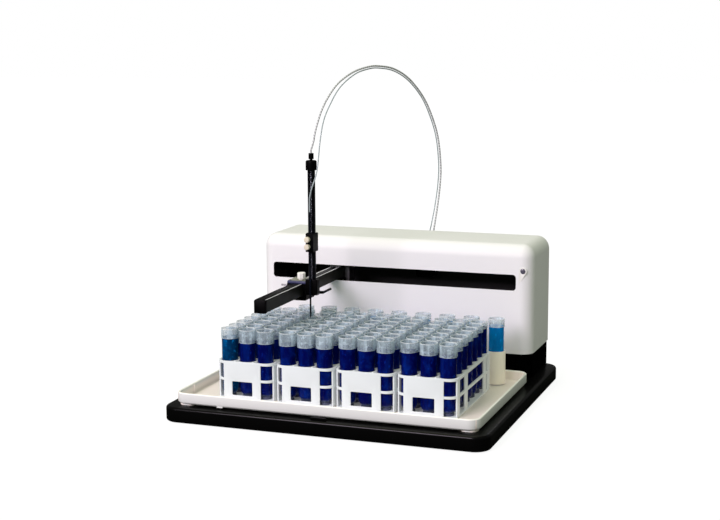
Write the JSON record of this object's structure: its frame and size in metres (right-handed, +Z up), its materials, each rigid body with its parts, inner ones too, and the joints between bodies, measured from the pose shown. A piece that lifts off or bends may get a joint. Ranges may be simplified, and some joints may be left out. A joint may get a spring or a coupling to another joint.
{
  "type": "autosampler",
  "caption": "Bench autosampler: tube racks on a spill tray, and a belt-driven arm from a slotted housing whose twisted-auger drive dips a probe into the tubes.",
  "frame": {"origin": "under the middle of the base, on the surface that its feet rest on", "axes": "+X to the right seen from the front, along the base's width; +Y to the back; +Z up"},
  "size_m": [0.58, 0.5635, 0.6012],
  "materials": {
    "black_base": "satin black",
    "black_panel": "fine textured black",
    "black_arm": "black anodised",
    "black_plastic": "satin",
    "white_shell": "smooth white",
    "white_tray": "smooth white",
    "white_rack": "moulded white",
    "clear_tube": "frosted, see-through",
    "nylon": "natural",
    "rubber": "matte",
    "steel": "brushed",
    "bronze": "sintered",
    "aluminium": "machined",
    "belt": "moulded, toothed",
    "board": "coated circuit board",
    "grey_sheath": "ribbed grey sleeve",
    "line": "smooth see-through",
    "lens": "dark glossy"
  },
  "bodies": {
    "frame": {"base_pan": "black_base", "bottom_cover": "black_base", "front_left_foot": "rubber", "front_right_foot": "rubber", "rear_left_foot": "rubber", "rear_right_foot": "rubber", "spill_tray": "white_tray", "sample_rack_1": "white_rack", "sample_rack_2": "white_rack", "sample_rack_3": "white_rack", "sample_rack_4": "white_rack", "sample_tubes_1": "clear_tube", "sample_tubes_2": "clear_tube", "sample_tubes_3": "clear_tube", "sample_tubes_4": "clear_tube", "standards_rack": "white_rack", "standards_tubes": "clear_tube", "rinse_station": "white_rack", "rear_plinth": "black_base", "housing_cover": "white_shell", "status_window": "lens", "rear_panel": "black_panel", "power_inlet": "black_plastic", "data_ports": "steel", "lower_guide_rod": "steel", "upper_guide_rod": "steel", "left_bracket": "aluminium", "right_bracket": "aluminium", "cross_motor": "black_plastic", "cross_belt": "belt", "auger_motor": "black_plastic", "line_port_block": "black_plastic", "control_board": "board", "power_supply": "aluminium", "drive_cable_sheath": "grey_sheath", "sample_line": "line"},
    "cross_drive": {"cross_drive_pulley": "aluminium"},
    "cross_idler": {"cross_idler_pulley": "aluminium"},
    "arm": {"cross_carrier": "aluminium", "lower_rod_bush": "bronze", "upper_rod_bush": "bronze", "arm_beam": "black_arm", "arm_end_cap": "black_plastic", "arm_motor": "black_plastic", "arm_belt": "belt"},
    "arm_drive": {"arm_drive_pulley": "aluminium"},
    "arm_idler": {"arm_idler_pulley": "aluminium"},
    "carriage": {"carriage_block": "black_arm", "carriage_plate": "black_arm", "home_flag": "black_plastic", "drive_block": "black_plastic", "drive_tube": "black_arm", "drive_cap": "black_plastic"},
    "thumbscrew": {"carriage_thumbscrew": "nylon"},
    "auger": {"drive_auger": "steel"},
    "probe_slide": {"probe_slider": "black_plastic", "probe": "black_plastic"},
    "upper_knob": {"upper_clamp_knob": "nylon"},
    "lower_knob": {"lower_clamp_knob": "nylon"},
    "rocker": {"power_rocker": "black_plastic"}
  },
  "joints": [
    {"name": "arm_cross_slide", "type": "slide", "parent": "frame", "child": "arm", "axis": [1, 0, 0], "range_m": [-0.11, 0.31], "deforming": ["drive_cable_sheath", "sample_line"]},
    {"name": "cross_drive_spin", "type": "hinge", "parent": "frame", "child": "cross_drive", "pos_m": [-0.2419, 0.2105, 0.2362], "axis": [0, 0, 1], "continuous": true},
    {"name": "cross_idler_spin", "type": "hinge", "parent": "frame", "child": "cross_idler", "pos_m": [0.2419, 0.2105, 0.2362], "axis": [0, 0, 1], "continuous": true},
    {"name": "carriage_arm_slide", "type": "slide", "parent": "arm", "child": "carriage", "axis": [0, 1, 0], "range_m": [-0.1235, 0.12], "deforming": ["drive_cable_sheath", "sample_line"]},
    {"name": "arm_drive_spin", "type": "hinge", "parent": "arm", "child": "arm_drive", "pos_m": [-0.121, 0.1442, 0.2068], "axis": [0, 0, 1], "continuous": true},
    {"name": "arm_idler_spin", "type": "hinge", "parent": "arm", "child": "arm_idler", "pos_m": [-0.121, -0.2015, 0.2068], "axis": [0, 0, 1], "continuous": true},
    {"name": "auger_spin", "type": "hinge", "parent": "carriage", "child": "auger", "pos_m": [-0.091, -0.0535, 0.2263], "axis": [0, 0, 1], "range_deg": [-1621, 1092]},
    {"name": "probe_lift", "type": "slide", "parent": "carriage", "child": "probe_slide", "axis": [0, 0, 1], "range_m": [-0.0485, 0.072], "deforming": ["sample_line"]},
    {"name": "thumbscrew_turn", "type": "hinge", "parent": "carriage", "child": "thumbscrew", "pos_m": [-0.117, -0.042, 0.2218], "axis": [0, 0, 1], "continuous": true},
    {"name": "upper_knob_turn", "type": "hinge", "parent": "probe_slide", "child": "upper_knob", "pos_m": [-0.0928, -0.069, 0.2998], "axis": [0, -1, 0], "continuous": true},
    {"name": "lower_knob_turn", "type": "hinge", "parent": "probe_slide", "child": "lower_knob", "pos_m": [-0.0928, -0.069, 0.2866], "axis": [0, -1, 0], "continuous": true},
    {"name": "rocker_throw", "type": "hinge", "parent": "frame", "child": "rocker", "pos_m": [-0.2, 0.2605, 0.143], "axis": [1, 0, 0], "range_deg": [0, 18]}
  ],
  "couplings": [
    {"joint": "cross_drive_spin", "follows": "arm_cross_slide", "rad_per_m": 132.45},
    {"joint": "cross_idler_spin", "follows": "arm_cross_slide", "rad_per_m": 132.45},
    {"joint": "arm_drive_spin", "follows": "carriage_arm_slide", "rad_per_m": 132.45},
    {"joint": "arm_idler_spin", "follows": "carriage_arm_slide", "rad_per_m": 132.45},
    {"joint": "auger_spin", "follows": "probe_lift", "rad_per_m": -392.7}
  ]
}
